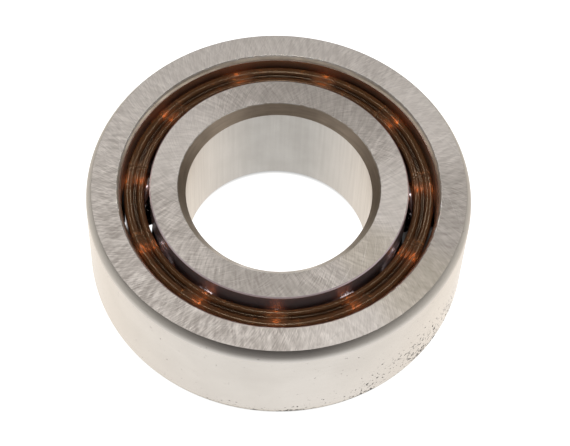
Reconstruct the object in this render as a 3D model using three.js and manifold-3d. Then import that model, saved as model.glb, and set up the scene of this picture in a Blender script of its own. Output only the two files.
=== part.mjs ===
// Single-row angular contact ball bearing, 30 x 62 x 20 mm.
// Millimetres, +Z up. The bearing axis is the Z axis and the lower side faces lie in Z = 0.
// The outer ring's high shoulder is at the top, so the contact line leans outwards and up.
import * as THREE from "three";
import { mergeVertices } from "three/addons/utils/BufferGeometryUtils.js";
import Module from "manifold-3d";

// Boundary dimensions
const BORE_R = 15;
const OUTSIDE_R = 31;
const WIDTH = 20;

// Ball set: the first ball's place round the axis, and the rest at equal steps
const BALL_COUNT = 11;
const BALL_R = 9.525 / 2;
const PITCH_R = 23;
const FIRST_BALL_ANGLE = THREE.MathUtils.degToRad(-88.4);
const BALL_DETAIL = 3;

// Raceways: each groove is an arc a little rounder than the ball, tangent to the contact line
const CONTACT_ANGLE = THREE.MathUtils.degToRad(25);
const GROOVE_R = 1.06 * BALL_R;
const RUNNING_GAP = 0.08;

// Shoulders beside the raceways
const OUTER_LAND_R = 25.42;
const OUTER_LAND_CHAMFER = 0.66;
const COUNTERBORE_GROOVE_R = 27.2;
const COUNTERBORE_FACE_R = 27.4;
const COUNTERBORE_CHAMFER = 0.6;
const INNER_LAND_R = 20.8;
const INNER_EDGE_BREAK = 0.2;

// Corners at the two seats, as sizes along the radius and the axis. Outside, an arc runs smoothly into the
// seat and meets the face at an edge. In the bore they are plain chamfers.
const OUTSIDE_CORNER = { radial: 0.93, axial: 2.3 };
const BORE_CHAMFER = { radial: 1.35, axial: 1.7 };

// Cage: a ring that rides on the outer ring's land, with one round window for each ball
const CAGE_OUTER_R = 24.95;
const CAGE_INNER_R = 21.7;
const CAGE_WIDTH = 16.6;
const POCKET_R = 4.95;

// Each rim of the cage is moulded as two rounded beads with a shallow groove between them
const BEAD_HEIGHT = 0.55;
const OUTER_BEAD_WIDTH = 1.5;
const INNER_BEAD_WIDTH = 1.2;
const RIM_GROOVE_DEPTH = 0.45;

// Facets: the rings have a whole number of them from ball to ball
const RING_SEGMENTS = 6 * BALL_COUNT;
const GROOVE_SEGMENTS = 9;
const CORNER_SEGMENTS = 4;
const BEAD_SEGMENTS = 4;
const POCKET_SEGMENTS = 28;

const MID_Z = WIDTH / 2;
const QUARTER = Math.PI / 2;

const steel = new THREE.MeshStandardMaterial({ color: 0xc3bdb6, roughness: 0.45, metalness: 1 });
const ballSteel = new THREE.MeshStandardMaterial({ color: 0xe6e4e1, roughness: 0.1, metalness: 1 });
const amber = new THREE.MeshStandardMaterial({ color: 0x6e3a1c, roughness: 0.25, metalness: 0 });

const wasm = await Module();
wasm.setup();

/** Points (radius, height) on an elliptical arc about centre, both ends included. */
function arc(centre, radial, axial, start, end, segments) {
  const points = [];
  for (let i = 0; i <= segments; i += 1) {
    const angle = start + ((end - start) * i) / segments;
    const radius = centre.x + radial * Math.cos(angle);
    points.push(new THREE.Vector2(radius, centre.y + axial * Math.sin(angle)));
  }
  return points;
}

/** The outer ring's upper outside corner, from the seat to the face. */
function outsideCorner() {
  const { radial, axial } = OUTSIDE_CORNER;
  const radius = (radial ** 2 + axial ** 2) / (2 * radial);
  const centre = new THREE.Vector2(OUTSIDE_R - radius, WIDTH - axial);
  return arc(centre, radius, radius, 0, Math.asin(axial / radius), CORNER_SEGMENTS);
}

/** The same points on the other side of the middle plane, in the opposite order. */
function mirrored(points) {
  return points.map((point) => new THREE.Vector2(point.x, WIDTH - point.y)).reverse();
}

/** Centre of a groove whose contact line leaves the ball outwards (side 1) or inwards (side -1). */
function grooveCentre(side) {
  const offset = side * (BALL_R + RUNNING_GAP - GROOVE_R);
  return new THREE.Vector2(
    PITCH_R + offset * Math.cos(CONTACT_ANGLE),
    MID_Z + offset * Math.sin(CONTACT_ANGLE),
  );
}

/** Angle, from the outward direction, at which a groove reaches the given radius. */
function grooveAngle(centre, radius) {
  return Math.acos((radius - centre.x) / GROOVE_R);
}

/** Turns a closed section, listed anticlockwise with the radius to the right, about the Z axis. */
function turned(section) {
  const profile = [...section, section[0].clone()];
  const geometry = new THREE.LatheGeometry(profile, RING_SEGMENTS);
  geometry.rotateX(QUARTER);
  geometry.rotateZ(QUARTER);
  return welded(geometry);
}

/** The same surface with position only and its shared vertices merged. */
function welded(geometry) {
  geometry.deleteAttribute("normal");
  geometry.deleteAttribute("uv");
  return mergeVertices(geometry);
}

function outerRingGeometry() {
  const centre = grooveCentre(1);
  const top = grooveAngle(centre, OUTER_LAND_R);
  const bottom = -grooveAngle(centre, COUNTERBORE_GROOVE_R);
  return turned([
    ...mirrored(outsideCorner()),
    ...outsideCorner(),
    new THREE.Vector2(OUTER_LAND_R + OUTER_LAND_CHAMFER, WIDTH),
    new THREE.Vector2(OUTER_LAND_R, WIDTH - OUTER_LAND_CHAMFER),
    ...arc(centre, GROOVE_R, GROOVE_R, top, bottom, GROOVE_SEGMENTS),
    new THREE.Vector2(COUNTERBORE_FACE_R, COUNTERBORE_CHAMFER),
    new THREE.Vector2(COUNTERBORE_FACE_R + COUNTERBORE_CHAMFER, 0),
  ]);
}

function innerRingGeometry() {
  const { radial, axial } = BORE_CHAMFER;
  const centre = grooveCentre(-1);
  const start = grooveAngle(centre, INNER_LAND_R);
  return turned([
    new THREE.Vector2(BORE_R + radial, WIDTH),
    new THREE.Vector2(BORE_R, WIDTH - axial),
    new THREE.Vector2(BORE_R, axial),
    new THREE.Vector2(BORE_R + radial, 0),
    new THREE.Vector2(INNER_LAND_R - INNER_EDGE_BREAK, 0),
    new THREE.Vector2(INNER_LAND_R, INNER_EDGE_BREAK),
    ...arc(centre, GROOVE_R, GROOVE_R, -start, start - 2 * Math.PI, GROOVE_SEGMENTS),
    new THREE.Vector2(INNER_LAND_R, WIDTH - INNER_EDGE_BREAK),
    new THREE.Vector2(INNER_LAND_R - INNER_EDGE_BREAK, WIDTH),
  ]);
}

/** The upper rim of the cage's section, from the outer side to the inner side. */
function upperRim() {
  const base = MID_Z + CAGE_WIDTH / 2 - BEAD_HEIGHT;
  const floorAngle = Math.asin(1 - RIM_GROOVE_DEPTH / BEAD_HEIGHT);
  const outer = OUTER_BEAD_WIDTH / 2;
  const inner = INNER_BEAD_WIDTH / 2;
  const outerCentre = new THREE.Vector2(CAGE_OUTER_R - outer, base);
  const innerCentre = new THREE.Vector2(CAGE_INNER_R + inner, base);
  return [
    ...arc(outerCentre, outer, BEAD_HEIGHT, 0, Math.PI - floorAngle, BEAD_SEGMENTS),
    ...arc(innerCentre, inner, BEAD_HEIGHT, floorAngle, Math.PI, BEAD_SEGMENTS),
  ];
}

function cageBlankGeometry() {
  return turned([...upperRim(), ...mirrored(upperRim())]);
}

/** Place of a ball round the axis, before the whole set is turned. */
function ballAngle(index) {
  return (2 * Math.PI * index) / BALL_COUNT;
}

/** A round window's cutter: a rod along the radius through one ball's centre. */
function pocketGeometry(index) {
  const rod = new THREE.CylinderGeometry(POCKET_R, POCKET_R, 2 * BALL_R, POCKET_SEGMENTS);
  rod.rotateZ(-QUARTER);
  rod.translate(PITCH_R, 0, MID_Z);
  rod.rotateZ(ballAngle(index));
  return welded(rod);
}

function toManifold(geometry) {
  const mesh = new wasm.Mesh({
    numProp: 3,
    vertProperties: Float32Array.from(geometry.getAttribute("position").array),
    triVerts: Uint32Array.from(geometry.getIndex().array),
  });
  return new wasm.Manifold(mesh);
}

function toGeometry(solid) {
  const mesh = solid.getMesh();
  const geometry = new THREE.BufferGeometry();
  geometry.setAttribute("position", new THREE.BufferAttribute(mesh.vertProperties, 3));
  geometry.setIndex(new THREE.BufferAttribute(mesh.triVerts, 1));
  return geometry;
}

function cageGeometry() {
  let solid = toManifold(cageBlankGeometry());
  for (let index = 0; index < BALL_COUNT; index += 1) {
    solid = solid.subtract(toManifold(pocketGeometry(index)));
  }
  return toGeometry(solid);
}

function named(name, geometry, material) {
  geometry.computeVertexNormals();
  const mesh = new THREE.Mesh(geometry, material);
  mesh.name = name;
  return mesh;
}

function ball(index) {
  const geometry = welded(new THREE.IcosahedronGeometry(BALL_R, BALL_DETAIL));
  const mesh = named(`ball_${String(index + 1).padStart(2, "0")}`, geometry, ballSteel);
  const angle = ballAngle(index);
  mesh.position.set(PITCH_R * Math.cos(angle), PITCH_R * Math.sin(angle), MID_Z);
  mesh.rotation.z = angle;
  return mesh;
}

const group = new THREE.Group();
group.rotation.z = FIRST_BALL_ANGLE;
group.add(named("outer_ring", outerRingGeometry(), steel));
group.add(named("inner_ring", innerRingGeometry(), steel));
group.add(named("cage", cageGeometry(), amber));
for (let index = 0; index < BALL_COUNT; index += 1) {
  group.add(ball(index));
}

export default group;
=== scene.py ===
"""Looks of a single-row angular contact ball bearing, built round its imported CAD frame.

Everything is in metres in the frame's own axes: the bearing axis is Z, the lower side faces lie in Z = 0
and the visible side is the upper one.
"""

import math

import bmesh
import bpy
from mathutils import Matrix, Vector


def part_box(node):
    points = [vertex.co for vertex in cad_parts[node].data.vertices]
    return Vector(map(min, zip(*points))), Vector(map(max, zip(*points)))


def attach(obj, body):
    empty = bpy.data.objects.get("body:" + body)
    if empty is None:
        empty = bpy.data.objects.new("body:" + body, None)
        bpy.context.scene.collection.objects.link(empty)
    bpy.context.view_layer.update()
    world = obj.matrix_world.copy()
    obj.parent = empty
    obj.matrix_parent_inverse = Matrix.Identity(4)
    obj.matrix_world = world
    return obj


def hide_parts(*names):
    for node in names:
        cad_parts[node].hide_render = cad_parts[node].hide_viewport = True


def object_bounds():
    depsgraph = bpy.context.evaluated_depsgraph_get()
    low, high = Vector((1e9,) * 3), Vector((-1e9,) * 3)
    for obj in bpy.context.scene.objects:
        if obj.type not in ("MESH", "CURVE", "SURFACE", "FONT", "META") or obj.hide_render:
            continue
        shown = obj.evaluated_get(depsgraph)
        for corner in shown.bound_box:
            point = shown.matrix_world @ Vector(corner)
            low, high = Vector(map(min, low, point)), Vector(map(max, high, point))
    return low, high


MM = 0.001

# Fine surfaces: facets round each ring, the softness of its sharp edges, and how far the outer ring's land
# chamfer bulges
BALL_COUNT = 11
RING_SEGMENTS = 36 * BALL_COUNT
SHARP_TURN = math.radians(20)
EDGE_ROUND = 0.06 * MM
EDGE_HOLD = 0.04 * MM
EDGE_STEPS = 4
CORNER_STEPS = 12
GROOVE_STEPS = 40
CHAMFER_BULGE = 0.06 * MM
CHAMFER_STEPS = 8

# Ring sections, as in the CAD
OUTSIDE_CORNER = (0.93 * MM, 2.30 * MM)
BORE_CHAMFER = (1.35 * MM, 1.70 * MM)
CONTACT_ANGLE = math.radians(25)
GROOVE_TO_BALL = 1.06
RUNNING_GAP = 0.08 * MM
OUTER_LAND_R = 25.42 * MM
OUTER_LAND_CHAMFER = 0.66 * MM
COUNTERBORE_GROOVE_R = 27.2 * MM
COUNTERBORE_FACE_R = 27.4 * MM
COUNTERBORE_CHAMFER = 0.6 * MM
INNER_LAND_R = 20.8 * MM
INNER_EDGE_BREAK = 0.2 * MM

# Cage: round windows, and a rim that is moulded with two beads and a groove between them
POCKET_R = 4.95 * MM
POCKET_EDGE = 0.18 * MM
BEAD_HEIGHT = 0.55 * MM
OUTER_BEAD_WIDTH = 1.5 * MM
INNER_BEAD_WIDTH = 1.2 * MM
RIM_GROOVE_DEPTH = 0.45 * MM
RIM_STEPS = 16
WINDOW_SIDE_STEPS = 16
WEB_STEPS = 7
WALL_STEPS = 8
POCKET_EDGE_STEPS = 4

# Side faces: how far their grinding marks lean, in radians per metre of radius, and each kind of mark's
# width (which holds at MARK_RADIUS) and length
OUTER_LEAN = 15
INNER_LEAN = 50
STRAY_LEAN = 90
MARK_RADIUS = 25 * MM
FINE_MARK = (0.16 * MM, 1.6 * MM)
BROAD_MARK = (0.6 * MM, 2.4 * MM)
STRAY_MARK = (0.25 * MM, 6 * MM)

# Sectors of the side faces with painted sheen, with painted shade and with a painted olive reflection. Every
# sector is (middle, half width) in degrees round the axis
OUTER_SHEEN_SECTORS = ((-65, 24), (31, 26), (105, 90))
OUTER_SHADE_SECTORS = ((-14, 34),)
INNER_SHEEN_SECTORS = ((-5, 30), (155, 38))
INNER_SHADE_SECTORS = ((-95, 34), (72, 50))
OLIVE_REFLECTION_SECTOR = (-38, 20)

# Outside: how far the painted shade on its turned corners blends into the seat, and the sectors and heights
# that are pitted
CORNER_SHADE_BLEND = 1.5 * MM
PITTED_EDGE = (-68, 60)
PITTED_EDGE_HEIGHTS = (0.8 * MM, 4.2 * MM)
PITTED_WALL = (-38, 34)
PITTED_WALL_HEIGHTS = (2.0 * MM, 14.0 * MM)

# Chamfers: the sector with a painted brown reflection of the cage, and the depths below the face of the band
# that carries a painted highlight along the edge
CAGE_REFLECTION_SECTOR = (-75, 120)
HIGHLIGHT_EDGE_DEPTHS = (0.20 * MM, 0.08 * MM)

# Cage: how strongly a metre of its polymer absorbs
CAGE_DENSITY = 130

# Balls: each cube face is divided so often before it's pushed out to the sphere
BALL_DIVISIONS = 20

# The camera looks along +Y and down, a little rolled, at a point beside the middle of the upper side
LENS = 126.3
SENSOR = 36
CAMERA_ELEVATION = math.radians(57.89)
CAMERA_ROLL = math.radians(3.03)
CAMERA_DISTANCE = 316.5 * MM
CAMERA_AIM = Vector((1.22 * MM, -7.0 * MM, 0))

# Studio: a white table that glows but is shaded under the bearing, except at two lit spots, two long soft
# boxes overhead, faint cards behind the camera and low down on the left and right, and a dim room
TABLE_R = 1.2
TABLE_SEGMENTS = 96
TABLE_GLOW = 1.3
TABLE_SHADE = 0.97
LIT_SPOTS = ((-21.4 * MM, 4.2 * MM, 0), (-25.5 * MM, 3.5 * MM, 0))
LIT_RADII = (1.2 * MM, 2.4 * MM)
BOX_PLACE = (0.27, 0.35, 0.90)
BOX_SIZE = (0.13, 1.50)
BOX_POWER = 2.6
CARD_PLACE = (0, -0.90, 0.80)
CARD_SIZE = (1.80, 0.60)
CARD_POWER = 0.65
SIDE_CARD_PLACE = (1.00, -0.25, 0.36)
SIDE_CARD_SIZE = (1.50, 0.40)
SIDE_CARD_POWERS = (0.6, 0.8)
WARM = (1.0, 0.985, 0.965)
SURROUNDINGS = (0.17, 0.158, 0.15)


# ---------------------------------------------------------------- node helpers


class Shader:
    """One node material with its Principled shader, and short calls for the nodes round it."""

    def __init__(self, name):
        self.material = bpy.data.materials.new(name)
        self.material.use_nodes = True
        self.tree = self.material.node_tree
        self.principled = self.tree.nodes["Principled BSDF"]
        self.output = self.tree.nodes["Material Output"]
        self.place = self.tree.nodes.new("ShaderNodeTexCoord").outputs["Object"]

    def new(self, kind, **settings):
        node = self.tree.nodes.new(kind)
        for name, value in settings.items():
            setattr(node, name, value)
        return node

    def join(self, source, target):
        self.tree.links.new(source, target)

    def fill(self, socket, value):
        """A value, or what another node gives, on a socket."""
        if isinstance(value, bpy.types.NodeSocket):
            self.join(value, socket)
        else:
            socket.default_value = value

    def math(self, operation, first, second=0.0):
        node = self.new("ShaderNodeMath", operation=operation)
        self.fill(node.inputs[0], first)
        self.fill(node.inputs[1], second)
        return node.outputs[0]

    def polar(self):
        """Angle about the bearing axis, distance from it and height, as sockets."""
        split = self.new("ShaderNodeSeparateXYZ")
        self.join(self.place, split.inputs[0])
        x, y, z = split.outputs
        angle = self.math("ARCTAN2", y, x)
        squares = self.math("ADD", self.math("MULTIPLY", x, x), self.math("MULTIPLY", y, y))
        return angle, self.math("SQRT", squares), z

    def wrapped(self, angle, around, across):
        """A noise place that closes on itself round the axis: around counts per radian."""
        join = self.new("ShaderNodeCombineXYZ")
        self.join(self.math("MULTIPLY", self.math("COSINE", angle), around), join.inputs[0])
        self.join(self.math("MULTIPLY", self.math("SINE", angle), around), join.inputs[1])
        self.join(across, join.inputs[2])
        return join.outputs[0]

    def noise(self, place, scale=1.0, detail=2.0, roughness=0.5):
        node = self.new("ShaderNodeTexNoise")
        self.join(place, node.inputs["Vector"])
        node.inputs["Scale"].default_value = scale
        node.inputs["Detail"].default_value = detail
        node.inputs["Roughness"].default_value = roughness
        return node.outputs[0]

    def span(self, value, low, high, to_low, to_high, smooth=False):
        node = self.new("ShaderNodeMapRange", interpolation_type="SMOOTHSTEP" if smooth else "LINEAR")
        self.fill(node.inputs["Value"], value)
        for name, number in (("From Min", low), ("From Max", high), ("To Min", to_low), ("To Max", to_high)):
            node.inputs[name].default_value = number
        return node.outputs[0]

    def mix(self, share, first, second):
        node = self.new("ShaderNodeMix", data_type="RGBA")
        self.fill(node.inputs[0], share)
        self.fill(node.inputs[6], first)
        self.fill(node.inputs[7], second)
        return node.outputs[2]

    def from_middle(self, height):
        """How far a height is from the ring's middle plane."""
        return self.math("ABSOLUTE", self.math("SUBTRACT", height, MID_Z))

    # A mask for painted light: the left and right sides are lit more than the front and the back
    def side_light_share(self, angle, low, high, share):
        """0 at the front and the back of the bearing, rising to a share at its left and right sides."""
        return self.span(self.math("ABSOLUTE", self.math("COSINE", angle)), low, high, 0.0, share)

    def bump(self, height, distance):
        node = self.new("ShaderNodeBump")
        node.inputs["Strength"].default_value = 1.0
        node.inputs["Distance"].default_value = distance
        self.join(height, node.inputs["Height"])
        return node.outputs[0]

    def set(self, **values):
        for name, value in values.items():
            self.fill(self.principled.inputs[name.replace("_", " ")], value)


def rgb(red, green, blue):
    return (red, green, blue, 1.0)


EDGE_TINT = rgb(1.0, 0.93, 0.85)


# ---------------------------------------------------------------- materials


def scratches(shader, angle, radius, lean, width, length, detail=2.0):
    """Grinding marks that run out along the radius, so wide and long, leaning so many radians per metre."""
    turned = shader.math("ADD", angle, shader.math("MULTIPLY", radius, lean))
    along = shader.math("MULTIPLY", radius, 1 / length)
    return shader.noise(shader.wrapped(turned, MARK_RADIUS / width, along), detail=detail, roughness=0.6)


def sector(shader, angle, middle_and_half):
    """1 at the middle of a sector round the axis, easing to 0 at half the sector's width on either side."""
    middle, half = (math.radians(degrees) for degrees in middle_and_half)
    near = shader.math("COSINE", shader.math("SUBTRACT", angle, middle))
    return shader.span(near, math.cos(half), 1, 0, 1, smooth=True)


def face_material(name, lean, sheen_sectors, shade_sectors):
    """Side faces: matt, with slanting grinding marks, stray scratches, stains and uneven painted sheen."""
    dark, light = rgb(0.37, 0.335, 0.31), rgb(0.77, 0.725, 0.685)
    stained, painted_olive_reflection = rgb(0.45, 0.415, 0.385), rgb(0.50, 0.45, 0.35)
    painted_sheen, painted_shade = rgb(0.86, 0.82, 0.78), rgb(0.32, 0.295, 0.27)
    scratched = rgb(0.92, 0.90, 0.88)
    shader = Shader(name)
    angle, radius, _ = shader.polar()
    fine = scratches(shader, angle, radius, lean, *FINE_MARK)
    broad = scratches(shader, angle, radius, -0.5 * lean, *BROAD_MARK, detail=5.0)
    marks = shader.math("MULTIPLY", shader.math("ADD", fine, broad), 0.5)
    stray = scratches(shader, angle, radius, STRAY_LEAN, *STRAY_MARK, detail=1.0)
    bright = shader.span(stray, 0.69, 0.75, 0.0, 1.0, smooth=True)
    tint_share = shader.noise(shader.place, scale=500, detail=4)
    tone = shader.mix(shader.span(marks, 0.40, 0.60, 0, 1), dark, light)
    tone = shader.mix(shader.span(tint_share, 0.38, 0.62, 0, 0.45), tone, stained)
    # Painted sheen in some sectors and painted shade in others, as the marks catch the light unevenly round
    # the axis
    for sheen_sector in sheen_sectors:
        share = shader.math("MULTIPLY", sector(shader, angle, sheen_sector), 0.4)
        tone = shader.mix(share, tone, painted_sheen)
    for shade_sector in shade_sectors:
        share = shader.math("MULTIPLY", sector(shader, angle, shade_sector), 0.45)
        tone = shader.mix(share, tone, painted_shade)
    # A painted olive reflection in one sector
    tone = shader.mix(shader.math("MULTIPLY", sector(shader, angle, OLIVE_REFLECTION_SECTOR), 0.4), tone, painted_olive_reflection)
    tone = shader.mix(shader.math("MULTIPLY", bright, 0.6), tone, scratched)
    height = shader.math("ADD", marks, shader.math("MULTIPLY", bright, 0.3))
    shader.set(Metallic=1.0, Base_Color=tone, Roughness=shader.span(marks, 0.3, 0.7, 0.50, 0.40))
    shader.set(Normal=shader.bump(height, 0.03 * MM))
    return shader.material


def outside_material():
    """Ground outside: silky and clean, with dark pits at the lower edge and higher up on one side."""
    dark, light, grained = rgb(0.51, 0.485, 0.458), rgb(0.56, 0.535, 0.508), rgb(0.45, 0.425, 0.40)
    front_corner_shade, side_corner_shade = rgb(0.21, 0.195, 0.18), rgb(0.46, 0.43, 0.39)
    pit = rgb(0.13, 0.118, 0.11)
    shader = Shader("ground_outside")
    angle, _, height = shader.polar()
    grain = shader.noise(shader.wrapped(angle, 6, shader.math("MULTIPLY", height, 9000)), detail=3)
    cloud = shader.noise(shader.place, scale=90, detail=3)
    # Painted shade on the turned corners: darker at the front and the back than at the left and right sides
    edge = MID_Z - OUTSIDE_CORNER[1]
    corner = shader.span(shader.from_middle(height), edge, edge + CORNER_SHADE_BLEND, 0.0, 1.0, smooth=True)
    low = shader.span(height, *PITTED_EDGE_HEIGHTS, 0.36, 0.0)
    wall = shader.span(height, *PITTED_WALL_HEIGHTS, 0.255, 0.0)
    along_edge = shader.math("MULTIPLY", low, sector(shader, angle, PITTED_EDGE))
    up_wall = shader.math("MULTIPLY", wall, sector(shader, angle, PITTED_WALL))
    patch = shader.span(shader.noise(shader.place, scale=240, detail=2), 0.40, 0.60, 0.35, 1.0)
    wear = shader.math("MULTIPLY", shader.math("MAXIMUM", along_edge, up_wall), patch)
    pits = shader.noise(shader.place, scale=2000, detail=3)
    pitted = shader.span(shader.math("ADD", pits, wear), 0.70, 0.76, 0, 1)
    tone = shader.mix(shader.span(cloud, 0.35, 0.65, 0, 1), dark, light)
    tone = shader.mix(shader.span(grain, 0.3, 0.7, 0, 0.2), tone, grained)
    sides = shader.side_light_share(angle, 0.2, 0.9, 1.0)
    tone = shader.mix(corner, tone, shader.mix(sides, front_corner_shade, side_corner_shade))
    tone = shader.mix(pitted, tone, pit)
    shader.set(Metallic=shader.span(pitted, 0.0, 1.0, 1.0, 0.2), Base_Color=tone, Specular_Tint=EDGE_TINT)
    rough = shader.span(corner, 0.0, 1.0, 0.27, 0.50)
    shader.set(Roughness=shader.math("MAXIMUM", rough, shader.math("MULTIPLY", pitted, 0.8)))
    shader.set(Normal=shader.bump(grain, 0.004 * MM))
    return shader.material


def bore_material():
    """Ground bore: duller than the outside, with faint lengthwise streaks."""
    dark, light, grained = rgb(0.36, 0.345, 0.325), rgb(0.40, 0.385, 0.365), rgb(0.31, 0.295, 0.275)
    side = rgb(0.66, 0.61, 0.56)
    shader = Shader("ground_bore")
    angle, _, height = shader.polar()
    grain = shader.noise(shader.wrapped(angle, 30, shader.math("MULTIPLY", height, 60)), detail=3)
    cloud = shader.noise(shader.place, scale=200, detail=3)
    tone = shader.mix(shader.span(cloud, 0.35, 0.65, 0, 1), dark, light)
    # Painted light: the bore is lighter at its left and right sides
    tone = shader.mix(shader.side_light_share(angle, 0.3, 0.85, 0.6), tone, side)
    tone = shader.mix(shader.span(grain, 0.3, 0.7, 0, 0.2), tone, grained)
    shader.set(Metallic=1.0, Base_Color=tone, Specular_Tint=EDGE_TINT)
    shader.set(Roughness=shader.span(grain, 0.3, 0.7, 0.33, 0.40))
    shader.set(Normal=shader.bump(grain, 0.003 * MM))
    return shader.material


def turned_material(name, dark, light, smooth, rough, tint_share):
    """Chamfers: turned, two-toned, painted cage reflection on one side, painted highlight along the edge."""
    clouded, brown, painted_edge_highlight = rgb(0.36, 0.30, 0.24), rgb(0.44, 0.18, 0.06), rgb(1.0, 0.98, 0.94)
    shader = Shader(name)
    angle, radius, height = shader.polar()
    across = shader.math("MULTIPLY", shader.math("SUBTRACT", radius, height), 14000)
    rings = shader.noise(shader.wrapped(angle, 3, across), detail=3)
    cloud = shader.noise(shader.place, scale=350, detail=3)
    tone = shader.mix(shader.span(rings, 0.3, 0.7, 0, 1), dark, light)
    tone = shader.mix(shader.span(cloud, 0.4, 0.7, 0, 0.4), tone, clouded)
    # Painted brown reflection of the cage, in one sector and as strong as asked
    tone = shader.mix(shader.math("MULTIPLY", sector(shader, angle, CAGE_REFLECTION_SECTOR), tint_share), tone, brown)
    # A painted highlight along a band of the edge just below the face, broken up by noise
    deep, shallow = HIGHLIGHT_EDGE_DEPTHS
    edge = shader.span(shader.from_middle(height), MID_Z - deep, MID_Z - shallow, 0.0, 1.0)
    highlight_breaks = shader.span(shader.noise(shader.place, scale=900, detail=2), 0.40, 0.60, 0.35, 1.0)
    tone = shader.mix(shader.math("MULTIPLY", edge, highlight_breaks), tone, painted_edge_highlight)
    shader.set(Metallic=1.0, Base_Color=tone, Roughness=shader.span(cloud, 0.3, 0.7, smooth, rough))
    shader.set(Normal=shader.bump(rings, 0.006 * MM))
    return shader.material


def race_material(name, dark, light, smooth, rough, metal=1.0):
    """Raceways and the lands beside them, with very fine rings: between two tones and two roughnesses.

    Where metal is below 1, a film of oil dulls the steel.
    """
    shader = Shader(name)
    angle, _, height = shader.polar()
    rings = shader.noise(shader.wrapped(angle, 4, shader.math("MULTIPLY", height, 20000)), detail=2)
    tone = shader.mix(shader.span(rings, 0.3, 0.7, 0, 1), dark, light)
    shader.set(Metallic=metal, Base_Color=tone, Roughness=shader.span(rings, 0.3, 0.7, smooth, rough))
    shader.set(Normal=shader.bump(rings, 0.002 * MM))
    return shader.material


def ball_material():
    """Lapped balls: mirror-bright, with the faintest running marks."""
    dark, light = rgb(0.66, 0.65, 0.65), rgb(0.72, 0.71, 0.71)
    shader = Shader("lapped_ball")
    cloud = shader.noise(shader.place, scale=900, detail=3)
    tone = shader.mix(shader.span(cloud, 0.3, 0.7, 0, 1), dark, light)
    shader.set(Metallic=1.0, Base_Color=tone, Roughness=shader.span(cloud, 0.3, 0.7, 0.05, 0.10))
    return shader.material


def cage_material():
    """Amber engineering polymer: glossy and clear brown, so that the balls glow orange through its rim."""
    deep, raised, painted_ball_glow = rgb(0.24, 0.08, 0.02), rgb(0.86, 0.37, 0.14), rgb(0.92, 0.44, 0.20)
    shader = Shader("amber_polymer")
    angle, radius, height = shader.polar()
    flow = shader.noise(shader.wrapped(angle, 14, shader.math("MULTIPLY", height, 300)), detail=3)
    moulded = shader.noise(shader.wrapped(angle, 2, shader.math("MULTIPLY", radius, 3500)), detail=2)
    dust = shader.noise(shader.place, scale=2600, detail=2)
    turn = shader.math("MULTIPLY", shader.math("SUBTRACT", angle, PHASE), BALL_COUNT)
    # Painted ball glow: a lighter, orange tone over each ball, fading to the darker tone between the balls
    ball_glow_share = shader.span(shader.math("COSINE", turn), 0.30, 0.95, 0.0, 1.0, smooth=True)
    # Painted shade: a dark tone on the groove's floor and everything below it, the lighter tone on the crest
    crest = shader.span(height, CAGE_TOP - RIM_GROOVE_DEPTH, CAGE_TOP - 0.3 * RIM_GROOVE_DEPTH, 0.0, 1.0)
    tone = shader.mix(crest, deep, raised)
    tone = shader.mix(ball_glow_share, tone, painted_ball_glow)
    shader.set(Base_Color=tone, Transmission_Weight=0.90, IOR=1.5)
    shader.set(Roughness=shader.span(flow, 0.3, 0.7, 0.12, 0.18), Specular_Tint=rgb(1.0, 0.80, 0.58))
    rough = shader.math("ADD", shader.math("MULTIPLY", dust, 0.25), flow)
    rough = shader.math("ADD", rough, shader.math("MULTIPLY", moulded, 0.10))
    shader.set(Normal=shader.bump(rough, 0.005 * MM))
    volume = shader.new("ShaderNodeVolumeAbsorption")
    volume.inputs["Color"].default_value = rgb(0.5, 0.4, 0.3)
    volume.inputs["Density"].default_value = CAGE_DENSITY
    shader.join(volume.outputs[0], shader.output.inputs["Volume"])
    return shader.material


def table_material():
    """A white table: an even, faintly mottled glow, in shade under the bearing but for the lit spots."""
    shader = Shader("white_table")
    _, radius, _ = shader.polar()
    cloud = shader.noise(shader.place, scale=30, detail=3)
    within = shader.span(radius, 0.94 * OUTSIDE_R, OUTSIDE_R, 1.0, 0.0, smooth=True)
    beyond = shader.span(radius, BORE_R, 1.12 * BORE_R, 0.0, 1.0, smooth=True)
    shade = shader.math("MULTIPLY", shader.math("MULTIPLY", within, beyond), TABLE_SHADE)
    for spot in LIT_SPOTS:
        apart = shader.new("ShaderNodeVectorMath", operation="DISTANCE")
        shader.join(shader.place, apart.inputs[0])
        apart.inputs[1].default_value = spot
        dark = shader.span(apart.outputs["Value"], *LIT_RADII, 0.0, 1.0, smooth=True)
        shade = shader.math("MULTIPLY", shade, dark)
    glow = shader.span(cloud, 0.3, 0.7, TABLE_GLOW - 0.01, TABLE_GLOW + 0.01)
    glow = shader.math("MULTIPLY", glow, shader.math("SUBTRACT", 1.0, shade))
    shader.set(Base_Color=rgb(0.02, 0.02, 0.02), Roughness=0.8, Specular_IOR_Level=0.0)
    shader.set(Emission_Color=rgb(1.0, 0.998, 0.99), Emission_Strength=glow)
    return shader.material


# ---------------------------------------------------------------- mesh helpers


def make_mesh(name, vertices, faces, materials, indices=None):
    """A smooth-shaded object from lists of vertices and faces, with one material index per face."""
    mesh = bpy.data.meshes.new(name)
    mesh.from_pydata(vertices, [], faces)
    for material in materials:
        mesh.materials.append(material)
    if indices is not None:
        mesh.polygons.foreach_set("material_index", indices)
    mesh.polygons.foreach_set("use_smooth", [True] * len(faces))
    mesh.update()
    piece = bpy.data.objects.new(name, mesh)
    bpy.context.scene.collection.objects.link(piece)
    return piece


def arc(centre, sizes, start, end, steps):
    """Points (radius, height) on an ellipse about centre from one angle to another, both included."""
    turn = (end - start) / steps
    return [
        Vector((
            centre[0] + sizes[0] * math.cos(start + turn * i),
            centre[1] + sizes[1] * math.sin(start + turn * i),
        ))
        for i in range(steps + 1)
    ]


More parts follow.
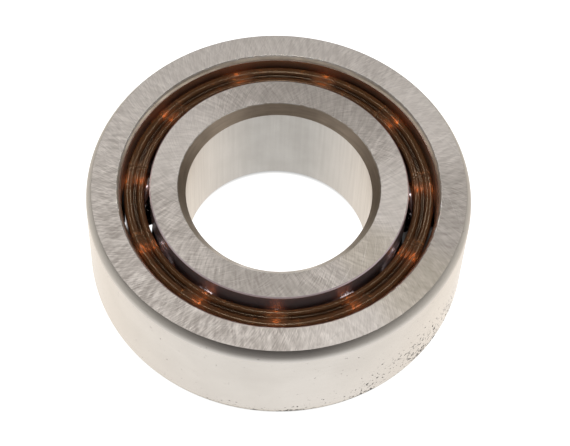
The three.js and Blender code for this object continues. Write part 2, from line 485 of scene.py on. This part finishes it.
def softened(section):
    """The closed section with its sharp corners rounded off and held by a close point on either side.

    A section is a list of (point, finish), where finish belongs to the stretch that starts at the point.
    """
    soft = []
    for i, (here, finish) in enumerate(section):
        before, last_finish = section[i - 1]
        after = section[(i + 1) % len(section)][0]
        back, on = before - here, after - here
        turn = math.pi - back.angle(on)
        if turn < SHARP_TURN:
            soft.append((here, finish))
            continue
        cut = min(EDGE_ROUND * math.tan(turn / 2), 0.4 * back.length, 0.4 * on.length)
        start, end = here + back.normalized() * cut, here + on.normalized() * cut
        if back.length > 4 * (cut + EDGE_HOLD):
            soft.append((start + back.normalized() * EDGE_HOLD, last_finish))
        for step in range(EDGE_STEPS + 1):
            t = step / EDGE_STEPS
            point = start * (1 - t) ** 2 + here * 2 * t * (1 - t) + end * t ** 2
            soft.append((point, last_finish if t < 0.5 else finish))
        if on.length > 4 * (cut + EDGE_HOLD):
            soft.append((end + on.normalized() * EDGE_HOLD, finish))
    return soft


def revolved(name, section, materials, phase):
    """A ring from a closed section, listed anticlockwise with the radius to the right."""
    section = softened(section)
    count = len(section)
    names = list(materials)
    vertices, faces, indices = [], [], []
    for turn in range(RING_SEGMENTS):
        angle = phase + 2 * math.pi * turn / RING_SEGMENTS
        for point, _ in section:
            vertices.append((point[0] * math.cos(angle), point[0] * math.sin(angle), point[1]))
    for turn in range(RING_SEGMENTS):
        here, there = turn * count, (turn + 1) % RING_SEGMENTS * count
        for i in range(count):
            j = (i + 1) % count
            faces.append((here + i, there + i, there + j, here + j))
            indices.append(names.index(section[i][1]))
    return make_mesh(name, vertices, faces, list(materials.values()), indices)


def stroke(points, finish):
    return [(Vector(point), finish) for point in points]


# ---------------------------------------------------------------- what the frame says


def reach(node):
    """The least and greatest distance of a CAD node's points from the bearing axis."""
    distances = [math.hypot(v.co.x, v.co.y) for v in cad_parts[node].data.vertices]
    return min(distances), max(distances)


def ball_centre(node):
    low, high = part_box(node)
    return (low + high) / 2


def ball_radius(node):
    centre = ball_centre(node)
    return max((v.co - centre).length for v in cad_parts[node].data.vertices)


# ---------------------------------------------------------------- rings


def groove_centre(side):
    """Centre of a raceway's section: side is 1 for the outer ring, -1 for the inner one."""
    offset = side * (BALL_R + RUNNING_GAP - GROOVE_R)
    return PITCH_R + offset * math.cos(CONTACT_ANGLE), MID_Z + offset * math.sin(CONTACT_ANGLE)


def groove_angle(centre, radius):
    return math.acos((radius - centre[0]) / GROOVE_R)


def outside_corner():
    """The upper outside corner: an arc that leaves the seat smoothly and meets the face at an edge."""
    radial, axial = OUTSIDE_CORNER
    radius = (radial ** 2 + axial ** 2) / (2 * radial)
    end = math.asin(axial / radius)
    return arc((OUTSIDE_R - radius, WIDTH - axial), (radius, radius), 0, end, CORNER_STEPS)


def bulged(start, end):
    """Points of a chamfer from start to end that bulges a little outwards, to the right of its way."""
    start, end = Vector(start), Vector(end)
    along = end - start
    outwards = Vector((along[1], -along[0])).normalized() * CHAMFER_BULGE
    steps = [i / CHAMFER_STEPS for i in range(CHAMFER_STEPS + 1)]
    return [start + along * t + outwards * 4 * t * (1 - t) for t in steps]


def outer_ring_section():
    centre = groove_centre(1)
    top = groove_angle(centre, OUTER_LAND_R)
    bottom = -groove_angle(centre, COUNTERBORE_GROOVE_R)
    upper = outside_corner()
    chamfer = bulged((OUTER_LAND_R + OUTER_LAND_CHAMFER, WIDTH), (OUTER_LAND_R, WIDTH - OUTER_LAND_CHAMFER))
    lower = [Vector((point[0], WIDTH - point[1])) for point in reversed(upper)]
    groove = arc(centre, (GROOVE_R, GROOVE_R), top, bottom, GROOVE_STEPS)
    return (
        stroke(lower, "seat")
        + stroke(upper[:-1], "seat")
        + stroke(upper[-1:], "face")
        + stroke(chamfer[:-1], "chamfer")
        + stroke(chamfer[-1:], "land")
        + stroke(groove, "race")
        + stroke([(COUNTERBORE_FACE_R, COUNTERBORE_CHAMFER)], "chamfer")
        + stroke([(COUNTERBORE_FACE_R + COUNTERBORE_CHAMFER, 0)], "face")
    )


def inner_ring_section():
    radial, axial = BORE_CHAMFER
    centre = groove_centre(-1)
    start = groove_angle(centre, INNER_LAND_R)
    groove = arc(centre, (GROOVE_R, GROOVE_R), -start, start - 2 * math.pi, GROOVE_STEPS)
    return (
        stroke([(BORE_R + radial, WIDTH)], "chamfer")
        + stroke([(BORE_R, WIDTH - axial)], "seat")
        + stroke([(BORE_R, axial)], "chamfer")
        + stroke([(BORE_R + radial, 0)], "face")
        + stroke([(INNER_LAND_R - INNER_EDGE_BREAK, 0)], "land")
        + stroke([(INNER_LAND_R, INNER_EDGE_BREAK)], "land")
        + stroke(groove[:-1], "race")
        + stroke(groove[-1:], "land")
        + stroke([(INNER_LAND_R, WIDTH - INNER_EDGE_BREAK)], "land")
        + stroke([(INNER_LAND_R - INNER_EDGE_BREAK, WIDTH)], "face")
    )


def make_ring(node, section, materials):
    ring = revolved(f"{node}_fine", section, materials, PHASE)
    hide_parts(node)
    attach(ring, node)


def make_rings():
    """Both rings, with a finish for each kind of surface in their sections."""
    race = race_material(
        "honed_raceway", rgb(0.52, 0.50, 0.52), rgb(0.60, 0.58, 0.60),
        smooth=0.10, rough=0.16,
    )
    outer_finish = {
        "face": face_material("outer_ring_face", OUTER_LEAN, OUTER_SHEEN_SECTORS, OUTER_SHADE_SECTORS),
        "seat": outside_material(),
        # Outer chamfer: a strong painted brown reflection of the cage
        "chamfer": turned_material(
            "outer_ring_chamfer", rgb(0.74, 0.64, 0.52), rgb(0.94, 0.83, 0.69),
            smooth=0.20, rough=0.28, tint_share=0.8,
        ),
        "race": race,
        # Outer land: tinted brown, a painted reflection of the amber cage
        "land": race_material(
            "outer_ring_land", rgb(0.78, 0.48, 0.32), rgb(0.92, 0.60, 0.42),
            smooth=0.48, rough=0.56,
        ),
    }
    inner_finish = {
        "face": face_material("inner_ring_face", INNER_LEAN, INNER_SHEEN_SECTORS, INNER_SHADE_SECTORS),
        "seat": bore_material(),
        # Inner chamfer: no painted cage reflection
        "chamfer": turned_material(
            "inner_ring_chamfer", rgb(0.44, 0.36, 0.28), rgb(0.58, 0.48, 0.38),
            smooth=0.30, rough=0.40, tint_share=0.0,
        ),
        "race": race,
        "land": race_material(
            "inner_ring_land", rgb(0.72, 0.60, 0.64), rgb(0.82, 0.70, 0.74),
            smooth=0.15, rough=0.21, metal=0.7,
        ),
    }
    make_ring("outer_ring", outer_ring_section(), outer_finish)
    make_ring("inner_ring", inner_ring_section(), inner_finish)


# ---------------------------------------------------------------- cage


def rim_section():
    """Points (radius, height) over the rim from its outer side to its inner side, both ends included.

    Each bead is half an ellipse, cut off where it meets the groove's floor.
    """
    floor_angle = math.asin(1 - RIM_GROOVE_DEPTH / BEAD_HEIGHT)
    outer, inner = OUTER_BEAD_WIDTH / 2, INNER_BEAD_WIDTH / 2
    base = CAGE_TOP - BEAD_HEIGHT
    outer_bead = arc((CAGE_OUTER_R - outer, base), (outer, BEAD_HEIGHT), 0, math.pi - floor_angle, RIM_STEPS)
    inner_bead = arc((CAGE_INNER_R + inner, base), (inner, BEAD_HEIGHT), floor_angle, math.pi, RIM_STEPS)
    middle = (outer_bead[-1] + inner_bead[0]) / 2
    return outer_bead + [middle] + inner_bead


def window_frame():
    """Places round one window: direction on the circle, and the matching place on the rectangle about it."""
    corner = math.atan2(WINDOW_HALF_HEIGHT, WINDOW_HALF_TURN * CAGE_MID_R)
    starts = [-corner, corner, math.pi - corner, math.pi + corner]
    ends = [corner, math.pi - corner, math.pi + corner, 2 * math.pi - corner]
    sides = [((1, -1), (1, 1)), ((1, 1), (-1, 1)), ((-1, 1), (-1, -1)), ((-1, -1), (1, -1))]
    places = []
    for start, end, (first, last) in zip(starts, ends, sides):
        for i in range(WINDOW_SIDE_STEPS):
            t = i / WINDOW_SIDE_STEPS
            direction = start + (end - start) * t
            turn = (first[0] * (1 - t) + last[0] * t) * WINDOW_HALF_TURN
            height = (first[1] * (1 - t) + last[1] * t) * WINDOW_HALF_HEIGHT
            places.append((direction, turn, height))
    return places


def window_strip(direction, turn, height):
    """Points from the rectangle on the outer side, through the window's wall, to it on the inner side.

    Each point is (turn about the axis, distance from the axis, height above the middle plane).
    """

    def web(surface_r, share):
        reach_r = POCKET_R + POCKET_EDGE
        across, up = reach_r * math.cos(direction), reach_r * math.sin(direction)
        edge_turn = math.asin(across / surface_r)
        return (edge_turn + (turn - edge_turn) * share, surface_r, up + (height - up) * share)

    def rounded_edge(surface_r, inwards, bend):
        from_axis = POCKET_R + POCKET_EDGE * (1 - math.sin(bend))
        sunk = POCKET_EDGE * (1 - math.cos(bend))
        across, up = from_axis * math.cos(direction), from_axis * math.sin(direction)
        out = math.sqrt(surface_r ** 2 - across ** 2) + inwards * sunk
        return (math.atan2(across, out), math.hypot(across, out), up)

    quarter = math.pi / 2
    bends = [quarter * i / POCKET_EDGE_STEPS for i in range(POCKET_EDGE_STEPS + 1)]
    outer_edge = [rounded_edge(CAGE_OUTER_R, -1, bend) for bend in bends]
    inner_edge = [rounded_edge(CAGE_INNER_R, 1, bend) for bend in reversed(bends)]
    strip = [web(CAGE_OUTER_R, 1 - i / WEB_STEPS) for i in range(WEB_STEPS)]
    strip += outer_edge
    first, last = outer_edge[-1], inner_edge[0]
    for i in range(1, WALL_STEPS):
        t = i / WALL_STEPS
        strip.append(tuple(a * (1 - t) + b * t for a, b in zip(first, last)))
    strip += inner_edge
    strip += [web(CAGE_INNER_R, (i + 1) / WEB_STEPS) for i in range(WEB_STEPS)]
    return strip


def cage_mesh(material):
    vertices, faces = [], []

    def add_grid(rows, closed):
        """Faces over a grid of points: rows run one way, and closed joins the last row to the first."""
        start, width = len(vertices), len(rows[0])
        for row in rows:
            vertices.extend(row)
        for i in range(len(rows) if closed else len(rows) - 1):
            here, there = start + i * width, start + (i + 1) % len(rows) * width
            for j in range(width - 1):
                faces.append((here + j, there + j, there + j + 1, here + j + 1))

    def placed(turn, radius, height, middle):
        angle = middle + turn
        return (radius * math.cos(angle), radius * math.sin(angle), height)

    window = [window_strip(*place) for place in window_frame()]
    top_rim = rim_section()
    for index in range(BALL_COUNT):
        middle = PHASE + 2 * math.pi * index / BALL_COUNT
        rows = [[placed(t, r, MID_Z + h, middle) for t, r, h in strip] for strip in window]
        add_grid(rows, closed=True)
        for side in (1, -1):
            rows = []
            for i in range(WINDOW_SIDE_STEPS + 1):
                turn = -side * WINDOW_HALF_TURN * (1 - 2 * i / WINDOW_SIDE_STEPS)
                rows.append([placed(turn, p[0], MID_Z + side * (p[1] - MID_Z), middle) for p in top_rim])
            add_grid(rows, closed=False)
    cage = make_mesh("cage_fine", vertices, faces, [material])
    weld(cage)
    return cage


def weld(piece):
    """Joins the points that lie on each other, and turns all faces outwards."""
    mesh = bmesh.new()
    mesh.from_mesh(piece.data)
    bmesh.ops.remove_doubles(mesh, verts=mesh.verts, dist=0.002 * MM)
    bmesh.ops.recalc_face_normals(mesh, faces=mesh.faces)
    open_edges = sum(1 for edge in mesh.edges if not edge.is_manifold)
    mesh.to_mesh(piece.data)
    mesh.free()
    if open_edges:
        raise RuntimeError(f"{piece.name} has {open_edges} open edges")


def make_cage():
    cage = cage_mesh(cage_material())
    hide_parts("cage")
    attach(cage, "cage")


# ---------------------------------------------------------------- balls


def ball_mesh(name, centre, radius, material):
    """A ball from a cube whose divided faces are pushed out to the sphere, so that it has no poles."""
    steps = BALL_DIVISIONS
    vertices, faces = [], []
    axes = [Vector((1, 0, 0)), Vector((0, 1, 0)), Vector((0, 0, 1))]
    for axis in range(3):
        for side in (1, -1):
            out = axes[axis] * side
            across, up = axes[(axis + 1) % 3] * side, axes[(axis + 2) % 3]
            start = len(vertices)
            for i in range(steps + 1):
                for j in range(steps + 1):
                    a = math.tan((i / steps - 0.5) * math.pi / 2)
                    b = math.tan((j / steps - 0.5) * math.pi / 2)
                    vertices.append(centre + (out + across * a + up * b).normalized() * radius)
            for i in range(steps):
                for j in range(steps):
                    corner = start + i * (steps + 1) + j
                    faces.append((corner, corner + steps + 1, corner + steps + 2, corner + 1))
    ball = make_mesh(name, vertices, faces, [material])
    weld(ball)
    return ball


def make_balls():
    material = ball_material()
    for index in range(BALL_COUNT):
        node = f"ball_{index + 1:02d}"
        ball = ball_mesh(f"{node}_fine", ball_centre(node), ball_radius(node), material)
        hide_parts(node)
        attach(ball, node)


# ---------------------------------------------------------------- studio


def make_table():
    rim = [2 * math.pi * i / TABLE_SEGMENTS for i in range(TABLE_SEGMENTS)]
    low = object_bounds()[0][2]
    vertices = [(TABLE_R * math.cos(a), TABLE_R * math.sin(a), low) for a in rim]
    table = make_mesh("light_table", vertices, [tuple(range(TABLE_SEGMENTS))], [table_material()])


def add_light(name, place, size, power):
    """A soft rectangular light that points at the middle of the bearing."""
    light = bpy.data.lights.new(name, "AREA")
    light.shape = "RECTANGLE"
    light.size, light.size_y = size
    light.energy = power
    light.color = WARM
    lamp = bpy.data.objects.new(name, light)
    lamp.location = place
    lamp.rotation_euler = (-Vector(place)).to_track_quat("-Z", "Y").to_euler()
    bpy.context.scene.collection.objects.link(lamp)


def make_lights():
    across, along, up = BOX_PLACE
    add_light("soft_box_left", (-across, along, up), BOX_SIZE, BOX_POWER)
    add_light("soft_box_right", (across, along, up), BOX_SIZE, BOX_POWER)
    add_light("card", CARD_PLACE, CARD_SIZE, CARD_POWER)
    across, along, up = SIDE_CARD_PLACE
    add_light("side_card_left", (-across, along, up), SIDE_CARD_SIZE, SIDE_CARD_POWERS[0])
    add_light("side_card_right", (across, along, up), SIDE_CARD_SIZE, SIDE_CARD_POWERS[1])
    world = bpy.data.worlds.new("dim_room")
    world.use_nodes = True
    world.node_tree.nodes["Background"].inputs["Color"].default_value = (*SURROUNDINGS, 1)
    bpy.context.scene.world = world


def make_camera():
    data = bpy.data.cameras.new("camera")
    data.lens = LENS
    data.sensor_width = SENSOR
    camera = bpy.data.objects.new("camera", data)
    aim = CAMERA_AIM + Vector((0, 0, WIDTH))
    back = Vector((0, -math.cos(CAMERA_ELEVATION), math.sin(CAMERA_ELEVATION)))
    tilt = Matrix.Rotation(math.pi / 2 - CAMERA_ELEVATION, 4, "X")
    roll = Matrix.Rotation(CAMERA_ROLL, 4, "Z")
    camera.matrix_world = Matrix.Translation(aim + back * CAMERA_DISTANCE) @ tilt @ roll
    bpy.context.scene.collection.objects.link(camera)
    bpy.context.scene.camera = camera


def set_rendering():
    scene = bpy.context.scene
    scene.view_settings.view_transform = "Standard"
    scene.cycles.use_denoising = True


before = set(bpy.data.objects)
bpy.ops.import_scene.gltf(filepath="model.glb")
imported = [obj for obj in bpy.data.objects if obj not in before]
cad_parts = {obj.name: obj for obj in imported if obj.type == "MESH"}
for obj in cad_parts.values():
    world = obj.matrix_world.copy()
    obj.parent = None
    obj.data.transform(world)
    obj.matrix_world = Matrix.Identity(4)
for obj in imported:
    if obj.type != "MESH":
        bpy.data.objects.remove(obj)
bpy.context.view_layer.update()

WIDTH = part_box("outer_ring")[1].z
OUTSIDE_R = reach("outer_ring")[1]
BORE_R = reach("inner_ring")[0]
MID_Z = WIDTH / 2
FIRST_BALL = ball_centre("ball_01")
PITCH_R = math.hypot(FIRST_BALL.x, FIRST_BALL.y)
PHASE = math.atan2(FIRST_BALL.y, FIRST_BALL.x)
BALL_R = ball_radius("ball_01")
GROOVE_R = GROOVE_TO_BALL * BALL_R
CAGE_INNER_R, CAGE_OUTER_R = reach("cage")
CAGE_MID_R = (CAGE_INNER_R + CAGE_OUTER_R) / 2
CAGE_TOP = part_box("cage")[1].z
WINDOW_HALF_TURN = math.pi / BALL_COUNT
WINDOW_HALF_HEIGHT = CAGE_TOP - BEAD_HEIGHT - MID_Z

set_rendering()
make_camera()
make_lights()
make_table()
make_rings()
make_cage()
make_balls()
